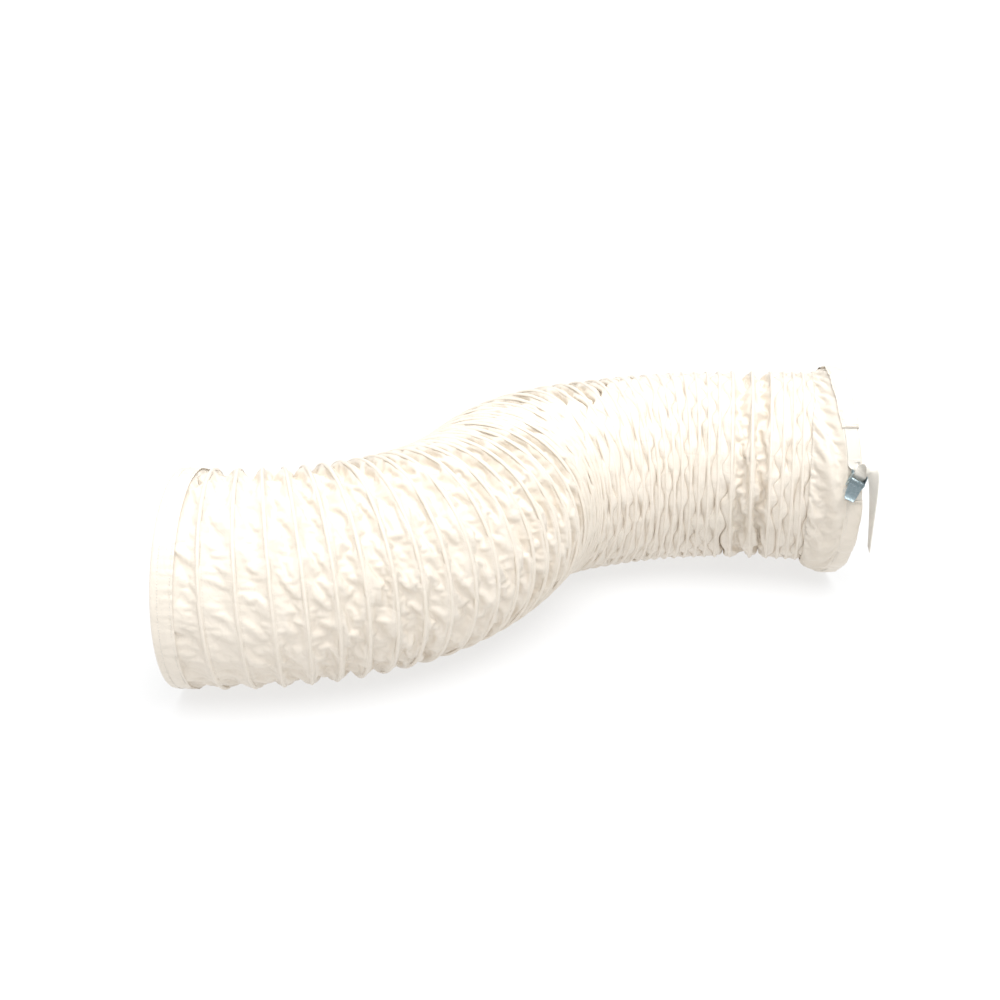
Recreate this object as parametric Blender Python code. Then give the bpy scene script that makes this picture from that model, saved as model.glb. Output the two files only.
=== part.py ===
"""Flexible air duct: coated fabric over a spring-wire helix, wire-ring end and belted cuff.

Metres, +Z up.  The duct lies on its side in a shallow S, with its length along +X.
The origin is on the floor, under the middle of the whole part.
"""
import bpy
import bmesh
import numpy as np
from mathutils import Matrix, Vector

# ---------------------------------------------------------------- driving dimensions
START = (-0.5091, -0.2129)                    # centre of the wire-ring end, in plan
LENGTH = 1.147                                # centreline from that end to the cuff's seam
HEADINGS = (-7, 9, 29, 54, 66, 31, 8.5, -8, -9)   # degrees from +X, at equal steps
END_LIFT = 0.016                              # the stiff belt holds the cuff end this high
LIFT_START = 0.66                             # share of the length where that rise starts
FLOOR_CLEARANCE = 0.0016                      # under the fabric
HEM_STRAIGHT = 0.003                          # straight run past the hem
SIDES = 20                                    # flats round the duct

COVER_RADIUS = 0.1540                         # outside of the fabric
COVER_WALL = 0.0010
WIRE_RADIUS = 0.0015
WIRE_HELIX_RADIUS = 0.1508                    # middle of the wire
WIRE_SETBACK = 0.002                          # wire stops this far inside its stretch
LAST_WIRE_SETBACK = 0.006                     # and this far before the cuff's ring
GAP = 0.0003                                  # air between touching pieces
STATION_STEP = 0.024                          # spacing of the rings of a cover

# distance along the duct, and the spacing of the wire's turns there
PITCHES = ((0.00, 0.042), (0.20, 0.030), (0.45, 0.025), (0.75, 0.027), (0.85, 0.019),
           (1.00, 0.019), (1.03, 0.034), (1.07, 0.030), (1.10, 0.015), (1.15, 0.015))
# where one stretch of fabric ends and the next begins
SECTIONS = (0.030, 0.195, 0.330, 0.490, 0.610, 0.800, 0.935, 1.100, 1.147)

HEM_LENGTH = 0.030                            # folded hem over the end ring
HEM_INNER_LENGTH = 0.018
HEM_OUTSIDE = 0.1555
HEM_INSIDE = 0.1475
HEM_WALL = 0.0012
RING_DISTANCE = 0.005                         # end ring's middle from the mouth
RING_RADIUS = 0.1516
CUFF_RING_SETBACK = 0.0035                    # last ring's middle before the cuff's seam
CUFF_RING_RADIUS = 0.1502
FERRULE_LENGTH = 0.022
FERRULE_RADIUS = 0.0025
RING_END_GAP = 0.002                          # half the gap between a ring's ends

CUFF_REACH = 0.054                            # seam to mouth, along the middle
MOUTH_HEADING = -1.0
MOUTH_RADIUS = 0.1700                         # outside of the hem tunnel
TUNNEL_WIDTH = 0.026
TUNNEL_DEPTH = 0.0052
TUNNEL_WALL = 0.0010
TUNNEL_EDGE = 0.0015                          # sewn edge of the tunnel
CUFF_INSET = 0.0020                           # cuff's edge under the tunnel's outside
BELT_WIDTH = 0.0200
BELT_THICKNESS = 0.0016
TUNNEL_OPENING = (137.0, 176.0)               # degrees round the mouth, 180 = near side
OPENING_GAP = 0.2                             # degrees between the tunnel and its backing
BUCKLE_ANGLE = 165.0
BUCKLE_SPAN = 8.0                             # degrees from the buckle to the belt's ends


# ---------------------------------------------------------------- the duct's middle line
def heading_at(distance):
    """Heading in radians: straight along the hem, then Catmull-Rom through HEADINGS."""
    values = np.radians(np.array(HEADINGS, dtype=float))
    values = np.concatenate([[2 * values[0] - values[1]], values, [2 * values[-1] - values[-2]]])
    steps = len(HEADINGS) - 1
    place = np.clip(np.maximum(distance, HEM_LENGTH + HEM_STRAIGHT) / LENGTH, 0.0, 0.999999) * steps
    cell = place.astype(int)
    t = place - cell
    a, b, c, d = (values[cell + k] for k in range(4))
    return 0.5 * (2 * b + (c - a) * t + (2 * a - 5 * b + 4 * c - d) * t**2
                  + (3 * b - a - 3 * c + d) * t**3)


FINE = np.linspace(0.0, LENGTH, 1201)
FINE_HEADING = heading_at(FINE)
FINE_STEP = FINE[1]


def running_sum(values):
    """Integral of values along FINE by the trapezium rule, starting at 0."""
    return np.concatenate([[0.0], np.cumsum((values[1:] + values[:-1]) / 2 * FINE_STEP)])


FINE_X = START[0] + running_sum(np.cos(FINE_HEADING))
FINE_Y = START[1] + running_sum(np.sin(FINE_HEADING))
FINE_TURNS = running_sum(1.0 / np.interp(FINE, *zip(*PITCHES)))


def centre_at(distance):
    """Points of the middle line; the last third rises by END_LIFT."""
    t = np.clip((np.asarray(distance) / LENGTH - LIFT_START) / (1 - LIFT_START), 0.0, 1.0)
    height = COVER_RADIUS + FLOOR_CLEARANCE + END_LIFT * t * t * (3 - 2 * t)
    return np.stack([np.interp(distance, FINE, FINE_X), np.interp(distance, FINE, FINE_Y),
                     height], axis=-1)


def frames_at(distance):
    """One row (origin, across, up) for each distance; across points to the duct's left."""
    heading = np.interp(distance, FINE, FINE_HEADING)
    zero = np.zeros_like(heading)
    across = np.stack([-np.sin(heading), np.cos(heading), zero], axis=-1)
    up = np.stack([zero, zero, zero + 1.0], axis=-1)
    return np.stack([centre_at(distance), across, up], axis=1)


# ---------------------------------------------------------------- mesh helpers
def material(name, colour, roughness, metallic=0.0):
    """A new Principled material."""
    made = bpy.data.materials.new(name)
    made.use_nodes = True
    shader = made.node_tree.nodes["Principled BSDF"]
    shader.inputs["Base Color"].default_value = (*colour, 1.0)
    shader.inputs["Roughness"].default_value = roughness
    shader.inputs["Metallic"].default_value = metallic
    return made


def add_object(name, vertices, faces, look, angle=35.0):
    """An object from vertices and faces, with its faces turned outward."""
    mesh = bpy.data.meshes.new(name)
    mesh.from_pydata(np.asarray(vertices).tolist(), [], faces)
    form = bmesh.new()
    form.from_mesh(mesh)
    bmesh.ops.recalc_face_normals(form, faces=form.faces)
    form.to_mesh(mesh)
    form.free()
    mesh.shade_smooth()
    mesh.set_sharp_from_angle(angle=np.radians(angle))
    mesh.materials.append(look)
    made = bpy.data.objects.new(name, mesh)
    bpy.context.scene.collection.objects.link(made)
    return made


def circle(radius, sides=SIDES):
    """A regular outline with a corner at each multiple of the side angle."""
    angle = np.arange(sides) * 2 * np.pi / sides
    return radius * np.stack([np.cos(angle), np.sin(angle)], axis=-1)


def rectangle(low, high):
    """Corners of a rectangle from its lowest and highest corners."""
    return np.array([(low[0], low[1]), (high[0], low[1]), (high[0], high[1]), (low[0], high[1])])


def sweep(name, frames, outline, look, hollow=None, closed=False):
    """Carries an outline along frames (origin, u, v), with an inner outline where it is hollow."""
    frames = np.asarray(frames)
    rings = len(frames)
    shells = [outline] if hollow is None else [outline, hollow]
    count = np.shape(outline)[-2]
    vertices, faces = [], []
    for shell in shells:
        flat = np.broadcast_to(shell, (rings, count, 2))
        points = (frames[:, None, 0] + flat[..., :1] * frames[:, None, 1]
                  + flat[..., 1:] * frames[:, None, 2])
        vertices.append(points.reshape(-1, 3))
    spans = rings if closed else rings - 1
    for shell in range(len(shells)):
        base = shell * rings * count
        for i in range(spans):
            near, far = base + i * count, base + (i + 1) % rings * count
            faces += [(near + k, near + (k + 1) % count, far + (k + 1) % count, far + k)
                      for k in range(count)]
    if not closed:
        for ring in (0, rings - 1):
            outer = [ring * count + k for k in range(count)]
            inner = [rings * count + index for index in outer]
            if hollow is None:
                faces.append(tuple(outer))
            else:
                faces += [(outer[k], outer[k - 1], inner[k - 1], inner[k]) for k in range(count)]
    return add_object(name, np.concatenate(vertices), faces, look)


def prism(name, origin, axes, outline, depth, look):
    """A flat outline in the first two axes, carried by depth (low, high) along the third."""
    u, v, w = axes
    frames = [(origin + step * w, u, v) for step in depth]
    return sweep(name, frames, np.asarray(outline, dtype=float), look)


def cut(target, cutter):
    """Takes the cutter's shape out of the target."""
    cutter.hide_render = True
    cutter.display_type = "WIRE"
    hole = target.modifiers.new("hole", "BOOLEAN")
    hole.object = cutter
    hole.operation = "DIFFERENCE"


def set_origin(item, point):
    """Moves an object's origin to a point and leaves its shape in place."""
    shift = Vector(point)
    item.data.transform(Matrix.Translation(-shift))
    item.location = shift


# ---------------------------------------------------------------- fabric and wire
def make_cover(name, start, end, look):
    """A plain thin tube of fabric from one distance along the duct to another."""
    count = max(3, int(round((end - start) / STATION_STEP)) + 1)
    frames = frames_at(np.linspace(start + GAP / 2, end - GAP / 2, count))
    return sweep(name, frames, circle(COVER_RADIUS), look, circle(COVER_RADIUS - COVER_WALL))


def make_wire(name, start, end, look):
    """The helix between two distances: one point at each corner of the cover's outline."""
    turns = np.interp((start + WIRE_SETBACK, end - WIRE_SETBACK), FINE, FINE_TURNS)
    steps = np.arange(np.ceil(turns[0] * SIDES), np.floor(turns[1] * SIDES) + 1)
    angle = steps * 2 * np.pi / SIDES
    base = frames_at(np.interp(steps / SIDES, FINE_TURNS, FINE))
    radial = np.cos(angle)[:, None] * base[:, 1] + np.sin(angle)[:, None] * base[:, 2]
    along = np.cross(base[:, 1], base[:, 2])
    frames = np.stack([base[:, 0] + WIRE_HELIX_RADIUS * radial, radial, along], axis=1)
    return sweep(name, frames, circle(WIRE_RADIUS, 4), look)


def ring_frames(base, radius, angles):
    """Frames round a ring: base is (centre, across, up), each frame is (point, radial, axial)."""
    centre, across, up = base
    axial = np.cross(across, up)
    angles = np.radians(np.asarray(angles, dtype=float))[:, None]
    radial = np.cos(angles) * across + np.sin(angles) * up
    return np.stack([centre + radius * radial, radial, np.broadcast_to(axial, radial.shape)], 1)


def make_end_ring(name, distance, radius, look, ferrule_look):
    """An open wire ring whose two ends meet inside a crimped ferrule, over one flat."""
    base = frames_at(np.array([distance]))[0]
    step = 360.0 / SIDES
    corners = ring_frames(base, radius, np.arange(SIDES) * step)
    middle = (corners[0][0] + corners[1][0]) / 2
    side = (corners[1][0] - corners[0][0])
    side = side / np.linalg.norm(side)
    ends = corners[[1, 0]].copy()
    ends[0, 0] = middle + RING_END_GAP * side
    ends[1, 0] = middle - RING_END_GAP * side
    frames = np.concatenate([ends[:1], corners[1:], corners[:1], ends[1:]])
    sweep(name + "_ring", frames, circle(WIRE_RADIUS, 6), look)
    radial = (corners[0][1] + corners[1][1]) / 2
    axial = corners[0][2]
    pipe = [(middle + reach * side, radial, axial) for reach in (-FERRULE_LENGTH / 2,
                                                                 FERRULE_LENGTH / 2)]
    sweep(name + "_ferrule", pipe, circle(FERRULE_RADIUS, 8), ferrule_look,
          circle(WIRE_RADIUS + GAP, 8))


def make_end_hem(look):
    """Fabric folded over the end ring: outer wall, flat mouth face and a shorter inner wall."""
    outer_wall = HEM_OUTSIDE - HEM_WALL
    inner_wall = HEM_INSIDE + HEM_WALL
    outline = np.array([(HEM_INSIDE, 0.0), (HEM_OUTSIDE, 0.0), (HEM_OUTSIDE, HEM_LENGTH),
                        (outer_wall, HEM_LENGTH), (outer_wall, HEM_WALL),
                        (inner_wall, HEM_WALL), (inner_wall, HEM_INNER_LENGTH),
                        (HEM_INSIDE, HEM_INNER_LENGTH)])
    base = frames_at(np.array([0.0]))[0]
    frames = ring_frames(base, 0.0, np.arange(SIDES) * 360.0 / SIDES)
    return sweep("end_hem", frames, outline, look, closed=True)


# ---------------------------------------------------------------- cuff, tunnel and belt
def mouth_base():
    """Centre, across and up of the cuff's mouth."""
    seam = frames_at(np.array([LENGTH]))[0]
    outward = np.cross(seam[1], seam[2])
    heading = np.radians(MOUTH_HEADING)
    centre = seam[0] + CUFF_REACH * outward
    centre[2] = MOUTH_RADIUS
    return np.array([centre, (-np.sin(heading), np.cos(heading), 0.0), (0.0, 0.0, 1.0)])


MOUTH = mouth_base()
OUTWARD = np.cross(MOUTH[1], MOUTH[2])
TUNNEL_MIDDLE = np.array([MOUTH[0] - OUTWARD * TUNNEL_WIDTH / 2, MOUTH[1], MOUTH[2]])


def make_cuff(look):
    """Loose fabric from the last wire ring to the hem tunnel, widening on the way."""
    seam = frames_at(np.array([LENGTH]))[0]
    far = MOUTH.copy()
    far[0] = far[0] - OUTWARD * (TUNNEL_WIDTH + GAP)
    t = np.linspace(0.0, 1.0, 4)
    frames = seam + t[:, None, None] * (far - seam)
    frames[:, 0] += (GAP * (1 - t))[:, None] * np.cross(seam[1], seam[2])
    ease = (t * t * (3 - 2 * t))[:, None, None]
    outside = COVER_RADIUS + ease * (MOUTH_RADIUS - CUFF_INSET - COVER_RADIUS)
    unit = circle(1.0)
    return sweep("cuff", frames, unit * outside, look, unit * (outside - COVER_WALL))


def tunnel_angles(first, last, step=9.0):
    """Angles from first to last in equal steps close to the given one."""
    return np.linspace(first, last, int(round((last - first) / step)) + 1)


def make_tunnel(look):
    """The hem that holds the belt: a flat fabric tube round the mouth, open at the buckle."""
    frames = ring_frames(TUNNEL_MIDDLE, 0.0, tunnel_angles(TUNNEL_OPENING[1],
                                                           TUNNEL_OPENING[0] + 360.0))
    half = TUNNEL_WIDTH / 2
    bottom = MOUTH_RADIUS - TUNNEL_DEPTH
    outline = rectangle((bottom, -half), (MOUTH_RADIUS, half))
    inner = rectangle((bottom + TUNNEL_WALL, TUNNEL_EDGE - half),
                      (MOUTH_RADIUS - TUNNEL_WALL, half - TUNNEL_EDGE))
    return sweep("hem_tunnel", frames, outline, look, inner)


BELT_RADIUS = MOUTH_RADIUS - TUNNEL_DEPTH / 2


def make_tunnel_backing(look):
    """The single layer of fabric that backs the belt where the tunnel is open."""
    frames = ring_frames(TUNNEL_MIDDLE, 0.0, tunnel_angles(TUNNEL_OPENING[0] + OPENING_GAP,
                                                           TUNNEL_OPENING[1] - OPENING_GAP))
    top = MOUTH_RADIUS - TUNNEL_DEPTH
    outline = rectangle((top, -TUNNEL_WIDTH / 2), (top + TUNNEL_WALL, TUNNEL_WIDTH / 2))
    return sweep("tunnel_backing", frames, outline, look)


def strap_outline(middle):
    """The strap's cross-section, with its middle at a given radius."""
    half = np.array((BELT_THICKNESS, BELT_WIDTH)) / 2
    return rectangle((middle - half[0], -half[1]), (middle + half[0], half[1]))


def make_belt(look):
    """Webbing through the tunnel, out over the opening and on to the buckle at both ends."""
    angles = tunnel_angles(BUCKLE_ANGLE + BUCKLE_SPAN, BUCKLE_ANGLE - BUCKLE_SPAN + 360.0)
    frames = ring_frames(TUNNEL_MIDDLE, 0.0, angles)
    return sweep("belt", frames, strap_outline(BELT_RADIUS), look)


# ---------------------------------------------------------------- buckle
BUCKLE_STANDOFF = 0.0066                      # the buckle rides this far outside the belt
BUCKLE_SKEW = 25.0                            # degrees, its lower end leans away from the mouth
CHEEK_IN = 0.0110                             # inner faces of the cheeks from the middle
CHEEK_OUT = 0.0122
CHEEK_HEIGHT = 0.0108
FLOOR_TOP = -0.0012
PLATE_THICKNESS = 0.0012
FRAME_HALF = 0.0130                           # half the frame's length
PIN_RADIUS = 0.0014
PIN_HEAD = 0.0010                             # thickness of a pin's head
HEAD_GROWTH = 2.0                             # head's radius against the pin's
DRILL_REACH = 0.02                            # half a drill's length
PIN_PLACE = np.array((0.0030, 0.0064))        # down and out from the buckle's point
BAR_PLACE = np.array((-0.0105, 0.0024))
TAIL_PLACE = np.array((-0.0150, 0.0084))      # where the strap's free end leaves the buckle
CAM_RADIUS = 0.0052
LEVER_LENGTH = 0.0300
LEVER_LEAN = 6.0                              # degrees, its tip stands off the strap
LEVER_RISE = 0.0026                           # thumb plate above the cam's middle


def buckle_axes():
    """The buckle's point on the strap, then its down, out and sideways directions."""
    point, radial, axial = ring_frames(TUNNEL_MIDDLE, BELT_RADIUS + BUCKLE_STANDOFF,
                                       [BUCKLE_ANGLE])[0]
    tangent = np.cross(axial, radial)
    tangent = tangent * np.sign(-tangent[2])
    skew = np.radians(BUCKLE_SKEW)
    down = np.cos(skew) * tangent - np.sin(skew) * axial
    return point, down, radial, np.cos(skew) * axial + np.sin(skew) * tangent


BUCKLE_POINT, DOWN, OUT, SIDEWAYS = buckle_axes()


def buckle_at(place):
    """A world point from a (down, out) place in the buckle."""
    return BUCKLE_POINT + place[0] * DOWN + place[1] * OUT


def drill(target, place, look):
    """A hole for a pin through everything at one place of the buckle."""
    hole = prism("hole_" + target.name, buckle_at(place), (DOWN, OUT, SIDEWAYS),
                 circle(PIN_RADIUS + GAP, 12), (-DRILL_REACH, DRILL_REACH), look)
    cut(target, hole)


def make_buckle_frame(look):
    """A steel channel: a floor under the strap and two cheeks drilled for the pin and the bar."""
    under = FLOOR_TOP - PLATE_THICKNESS
    outline = [(-CHEEK_OUT, under), (CHEEK_OUT, under), (CHEEK_OUT, CHEEK_HEIGHT),
               (CHEEK_IN, CHEEK_HEIGHT), (CHEEK_IN, FLOOR_TOP), (-CHEEK_IN, FLOOR_TOP),
               (-CHEEK_IN, CHEEK_HEIGHT), (-CHEEK_OUT, CHEEK_HEIGHT)]
    frame = prism("buckle_frame", BUCKLE_POINT, (SIDEWAYS, OUT, DOWN), outline,
                  (-FRAME_HALF, FRAME_HALF), look)
    drill(frame, PIN_PLACE, look)
    drill(frame, BAR_PLACE, look)


def make_pin(name, place, look):
    """A round pin through both cheeks with a flat head on each side."""
    reach = CHEEK_OUT + GAP
    head = reach + PIN_HEAD
    steps = ((-head, HEAD_GROWTH), (-reach, HEAD_GROWTH), (-reach, 1.0), (reach, 1.0),
             (reach, HEAD_GROWTH), (head, HEAD_GROWTH))
    frames = [(buckle_at(place) + step * SIDEWAYS, DOWN, OUT) for step, _ in steps]
    outlines = np.stack([circle(PIN_RADIUS, 12) * grow for _, grow in steps])
    return sweep(name, frames, outlines, look)


def make_cam_lever(look):
    """A round cam on the pin with a thumb plate that lies over the buckle when closed."""
    half = CHEEK_IN - 2 * GAP
    lean = np.radians(LEVER_LEAN)
    along = np.array((np.cos(lean), np.sin(lean)))
    out = np.array((-along[1], along[0]))
    angles = np.radians(np.linspace(125.0, 330.0, 12))
    rim = CAM_RADIUS * np.stack([np.cos(angles), np.sin(angles)], axis=-1)
    low = out * LEVER_RISE
    high = low + out * PLATE_THICKNESS
    outline = np.concatenate([rim, [along * CAM_RADIUS + low, along * LEVER_LENGTH + low,
                                    along * LEVER_LENGTH + high, high]])
    lever = prism("cam_lever", buckle_at(PIN_PLACE), (DOWN, OUT, SIDEWAYS), outline,
                  (-half, half), look)
    drill(lever, PIN_PLACE, look)
    set_origin(lever, buckle_at(PIN_PLACE))


def make_strap(name, path, look):
    """Webbing along (down, out) places of the buckle, square across the buckle's cheeks."""
    path = np.asarray(path)
    points = np.array([buckle_at(place) for place in path])
    along = np.gradient(points, axis=0)
    along = along / np.linalg.norm(along, axis=1)[:, None]
    frames = [(point, np.cross(SIDEWAYS, way), SIDEWAYS) for point, way in zip(points, along)]
    return sweep(name, frames, strap_outline(0.0), look)


def make_belt_anchor(look):
    """The belt's fixed end: up from the belt, round the bar and back over itself."""
    bend = PIN_RADIUS + GAP + BELT_THICKNESS / 2
    angles = np.radians(np.linspace(-90.0, 90.0, 9))
    loop = BAR_PLACE + bend * np.stack([np.cos(angles), np.sin(angles)], axis=-1)
    rise = [(-0.0215, -0.0058), (-0.0180, -0.0030), (-0.0145, BAR_PLACE[1] - bend)]
    back = [(-0.0150, BAR_PLACE[1] + bend)]
    return make_strap("belt_anchor", np.concatenate([rise, loop, back]), look)


def make_belt_throat(look):
    """The belt's running end: up from the belt, under the cam and out over the anchor."""
    path = [(0.0215, -0.0058), (0.0180, -0.0030), (0.0145, 0.0), (0.0090, 0.0), (0.0030, -0.0001),
            (-0.0015, 0.0003), (-0.0048, 0.0028), (-0.0080, 0.0064), (-0.0115, 0.0078),
            (-0.0150, 0.0084)]
    return make_strap("belt_throat", path, look)


# ---------------------------------------------------------------- free end of the strap
# towards the mouth, up and away from the near side, from the end of the throat;
# then how far the strap has turned edge-on, in degrees
EDGE_ON = np.array((-0.27, -0.963, 0.0))      # direction of its width once it has turned
TAIL_ROUTE = ((0.0002, 0.0003, -0.0001, 0.0), (0.0026, 0.0050, -0.0008, 3.0),
              (0.0068, 0.0082, 0.0030, 10.0), (0.0112, 0.0068, 0.0088, 20.0),
              (0.0142, 0.0004, 0.0125, 30.0), (0.0162, -0.0160, 0.0140, 42.0),
              (0.0175, -0.0370, 0.0135, 52.0), (0.0185, -0.0580, 0.0120, 60.0),
              (0.0195, -0.0800, 0.0098, 67.0), (0.0205, -0.1010, 0.0070, 73.0),
              (0.0214, -0.1270, 0.0038, 79.0))


def make_belt_tail(look):
    """The strap's free end: over the top of the buckle and down beside it, turning edge-on."""
    start = buckle_at(TAIL_PLACE)
    route = np.array(TAIL_ROUTE)
    near = np.array((0.0, -1.0, 0.0))
    points = (start + route[:, :1] * OUTWARD + route[:, 1:2] * np.array((0.0, 0.0, 1.0))
              + route[:, 2:3] * near)
    along = np.gradient(points, axis=0)
    along[0] = -DOWN
    along = along / np.linalg.norm(along, axis=1)[:, None]
    turn = np.radians(route[:, 3:4])
    wide = np.cos(turn) * SIDEWAYS + np.sin(turn) * EDGE_ON
    wide = wide - (wide * along).sum(axis=1)[:, None] * along
    wide = wide / np.linalg.norm(wide, axis=1)[:, None]
    frames = np.stack([points, np.cross(wide, along), wide], axis=1)
    tail = sweep("belt_tail", frames, strap_outline(0.0), look)
    set_origin(tail, points[0])


# ---------------------------------------------------------------- the whole part
def main():
    for old in list(bpy.data.objects):
        bpy.data.objects.remove(old)
    fabric = material("coated_fabric", (0.86, 0.82, 0.74), 0.38)
    steel_wire = material("spring_wire", (0.45, 0.46, 0.47), 0.35, 1.0)
    crimp = material("crimp_sleeve", (0.62, 0.60, 0.56), 0.40, 1.0)
    webbing = material("webbing", (0.88, 0.86, 0.80), 0.75)
    plated = material("plated_steel", (0.55, 0.60, 0.61), 0.30, 1.0)

    for index, (start, end) in enumerate(zip(SECTIONS, SECTIONS[1:]), 1):
        make_cover(f"cover_{index}", start, end, fabric)
        make_wire(f"wire_{index}", start, min(end, LENGTH - LAST_WIRE_SETBACK), steel_wire)
    make_end_hem(fabric)
    make_end_ring("end", RING_DISTANCE, RING_RADIUS, steel_wire, crimp)
    make_end_ring("cuff", LENGTH - CUFF_RING_SETBACK, CUFF_RING_RADIUS, steel_wire, crimp)
    make_cuff(fabric)
    make_tunnel(fabric)
    make_tunnel_backing(fabric)
    make_belt(webbing)
    make_belt_anchor(webbing)
    make_belt_throat(webbing)
    make_buckle_frame(plated)
    make_cam_lever(plated)
    make_pin("cam_pin", PIN_PLACE, plated)
    make_pin("anchor_bar", BAR_PLACE, plated)
    make_belt_tail(webbing)


main()
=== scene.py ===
"""Flexible air duct on a pale studio floor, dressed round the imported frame.

Metres, +Z up.  The fabric is one helical strip: rows run along the wire's turns, columns round
the duct.  Where the turns lie apart its folds come from a small cloth relaxation on that grid,
with the wire rows held; where they lie close, from a formula for shut pleats.
"""

import bmesh
import bpy
import numpy as np
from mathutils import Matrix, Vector


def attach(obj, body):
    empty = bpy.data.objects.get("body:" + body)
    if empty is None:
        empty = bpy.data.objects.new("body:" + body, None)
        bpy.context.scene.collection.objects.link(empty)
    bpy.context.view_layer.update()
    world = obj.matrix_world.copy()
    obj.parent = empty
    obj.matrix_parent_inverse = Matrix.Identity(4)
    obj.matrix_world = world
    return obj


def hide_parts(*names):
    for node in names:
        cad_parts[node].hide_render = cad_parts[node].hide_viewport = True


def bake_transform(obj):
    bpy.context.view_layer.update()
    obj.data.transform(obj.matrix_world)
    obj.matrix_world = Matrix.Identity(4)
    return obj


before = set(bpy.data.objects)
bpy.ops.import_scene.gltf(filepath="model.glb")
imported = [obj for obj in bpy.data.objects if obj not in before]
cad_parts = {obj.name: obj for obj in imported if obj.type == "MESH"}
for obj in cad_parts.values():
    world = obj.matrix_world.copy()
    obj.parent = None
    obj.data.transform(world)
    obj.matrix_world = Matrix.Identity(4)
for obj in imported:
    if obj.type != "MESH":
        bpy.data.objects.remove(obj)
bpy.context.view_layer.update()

# ---------------------------------------------------------------- the duct's driving sizes
START = (-0.5091, -0.2129)                    # centre of the wire-ring end, in plan
LENGTH = 1.147                                # middle line from that end to the cuff's seam
HEADINGS = (-7, 9, 29, 54, 66, 31, 8.5, -8, -9)   # degrees from +X, at equal steps
END_LIFT = 0.016
PITCHES = ((0.00, 0.042), (0.20, 0.030), (0.45, 0.025), (0.75, 0.027), (0.85, 0.019),
           (1.00, 0.019), (1.03, 0.034), (1.07, 0.030), (1.10, 0.015), (1.15, 0.015))
SECTIONS = (0.030, 0.195, 0.330, 0.490, 0.610, 0.800, 0.935, 1.100, 1.147)
HEM_LENGTH = 0.030
FABRIC_RADIUS = 0.1540                        # of the fabric where it lies on the wire
TURN_FABRIC = 0.0500                          # fabric between one turn of wire and the next
FABRIC_THICKNESS = 0.0005
HEM_THICKNESS = 0.0006

# bodies on each side of the joint that a stretch of fabric crosses, or its own body
STRETCHES = (("left_end", "left_outer"), ("left_outer", "left_inner"),
             ("left_inner", "middle"), ("middle",), ("middle", "right_inner"),
             ("right_inner", "right_outer"), ("right_outer", "right_end"), ("right_end",))


# ---------------------------------------------------------------- the middle line
def catmull_rom(stops, cell, t):
    """Curve through stops, which go on straight past both ends, at share t of each cell."""
    stops = np.concatenate([[2 * stops[0] - stops[1]], stops, [2 * stops[-1] - stops[-2]]])
    a, b, c, d = (stops[cell + k] for k in range(4))
    return 0.5 * (2 * b + (c - a) * t + (2 * a - 5 * b + 4 * c - d) * t**2
                  + (3 * b - a - 3 * c + d) * t**3)


def heading_at(distance):
    """Heading in radians: straight along the hem, then a curve through HEADINGS."""
    steps = len(HEADINGS) - 1
    place = np.clip(np.maximum(distance, HEM_LENGTH + 0.003) / LENGTH, 0.0, 0.999999) * steps
    cell = place.astype(int)
    return catmull_rom(np.radians(np.array(HEADINGS, dtype=float)), cell, place - cell)


FINE = np.linspace(0.0, LENGTH, 1201)
FINE_HEADING = heading_at(FINE)


def running_sum(values):
    """Integral of values along FINE by the trapezium rule, starting at 0."""
    return np.concatenate([[0.0], np.cumsum((values[1:] + values[:-1]) / 2 * FINE[1])])


FINE_X = START[0] + running_sum(np.cos(FINE_HEADING))
FINE_Y = START[1] + running_sum(np.sin(FINE_HEADING))
FINE_SLOPE = np.gradient(FINE_HEADING, FINE)
FINE_TURNS = running_sum(1.0 / np.interp(FINE, *zip(*PITCHES)))
ALL_TURNS = FINE_TURNS[-1]


def base_at(distance):
    """Centre, across and up directions of the duct at distances; each is (..., 3)."""
    distance = np.asarray(distance, dtype=float)
    t = np.clip((distance / LENGTH - 0.66) / 0.34, 0.0, 1.0)
    height = 0.1556 + END_LIFT * t * t * (3 - 2 * t)
    heading = np.interp(distance, FINE, FINE_HEADING)
    zero = np.zeros_like(heading)
    centre = np.stack([np.interp(distance, FINE, FINE_X), np.interp(distance, FINE, FINE_Y),
                       height], axis=-1)
    across = np.stack([-np.sin(heading), np.cos(heading), zero], axis=-1)
    return centre, across, np.stack([zero, zero, zero + 1.0], axis=-1)


def ring_point(centre, across, up, angle, radius):
    """Point at an angle and radius round a centre."""
    return (centre + (radius * np.cos(angle))[..., None] * across
            + (radius * np.sin(angle))[..., None] * up)


def duct_point(distance, angle, radius):
    """Point at a distance along the duct, an angle round it and a radius: all broadcast."""
    distance, angle, radius = np.broadcast_arrays(distance, angle, radius)
    return ring_point(*base_at(distance), angle, radius)


def distance_of_turn(turns):
    """Distance along the duct of a running number of turns of the wire."""
    return np.interp(turns, FINE_TURNS, FINE)


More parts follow.
